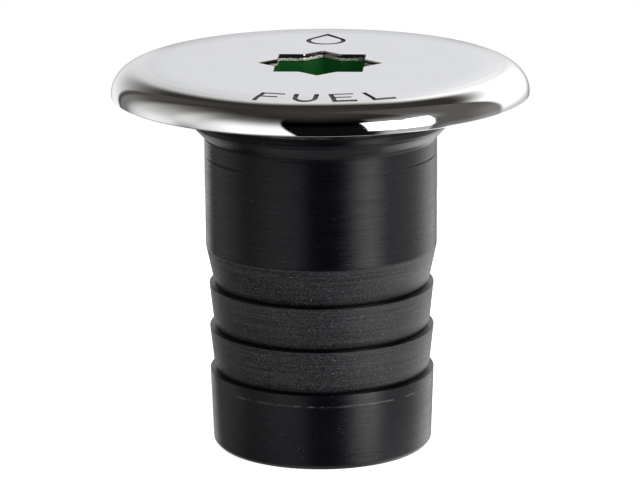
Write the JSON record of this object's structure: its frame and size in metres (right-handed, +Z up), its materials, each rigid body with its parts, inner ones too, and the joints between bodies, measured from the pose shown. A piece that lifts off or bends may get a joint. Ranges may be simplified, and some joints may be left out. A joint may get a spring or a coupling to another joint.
{
  "type": "deck fill cap",
  "caption": "Round through-deck fuel filler: a barbed black neck for a hose, closed by a quarter-turn sealed cap under a rolled-edge stainless cover with a star key hole.",
  "frame": {"origin": "centre of the hose tail's end face, on the neck's axis", "axes": "+Z up along the neck's axis, out of the deck; X and Y lie along the tips of the star key hole, with the bayonet lugs on X when the cap is released"},
  "size_m": [0.094, 0.094, 0.088],
  "materials": {
    "black_nylon": "satin black glass-filled nylon with fine turning lines",
    "stainless_cover": "satin brushed top and mirror-polished rolled edge",
    "green_nylon": "moulded, slightly glossy",
    "seal_rubber": "dull moulded rubber",
    "stainless_fastener": "plain stainless, lightly brushed"
  },
  "bodies": {
    "neck": {"neck_body": "black_nylon", "face_gasket": "seal_rubber"},
    "keeper": {"keeper_eye": "stainless_fastener"},
    "cap": {"cap_cover": "stainless_cover", "key_socket": "green_nylon", "plug_body": "black_nylon", "plug_o_ring_lower": "seal_rubber", "plug_o_ring_upper": "seal_rubber", "socket_o_ring": "seal_rubber", "weld_stud_1": "stainless_fastener", "weld_stud_2": "stainless_fastener", "weld_stud_3": "stainless_fastener", "weld_stud_4": "stainless_fastener", "stud_seal_1": "seal_rubber", "stud_seal_2": "seal_rubber", "stud_seal_3": "seal_rubber", "stud_seal_4": "seal_rubber", "stud_nut_1": "stainless_fastener", "stud_nut_2": "stainless_fastener", "stud_nut_3": "stainless_fastener", "stud_nut_4": "stainless_fastener", "keeper_screw": "stainless_fastener", "keeper_washer": "stainless_fastener"}
  },
  "joints": [
    {"name": "cap_lift", "type": "slide", "parent": "neck", "child": "keeper", "axis": [0, 0, 1], "range_m": [0, 0.06]},
    {"name": "cap_turn", "type": "hinge", "parent": "keeper", "child": "cap", "pos_m": [0, 0, 0.07], "axis": [0, 0, 1], "range_deg": [-90, 0]}
  ]
}
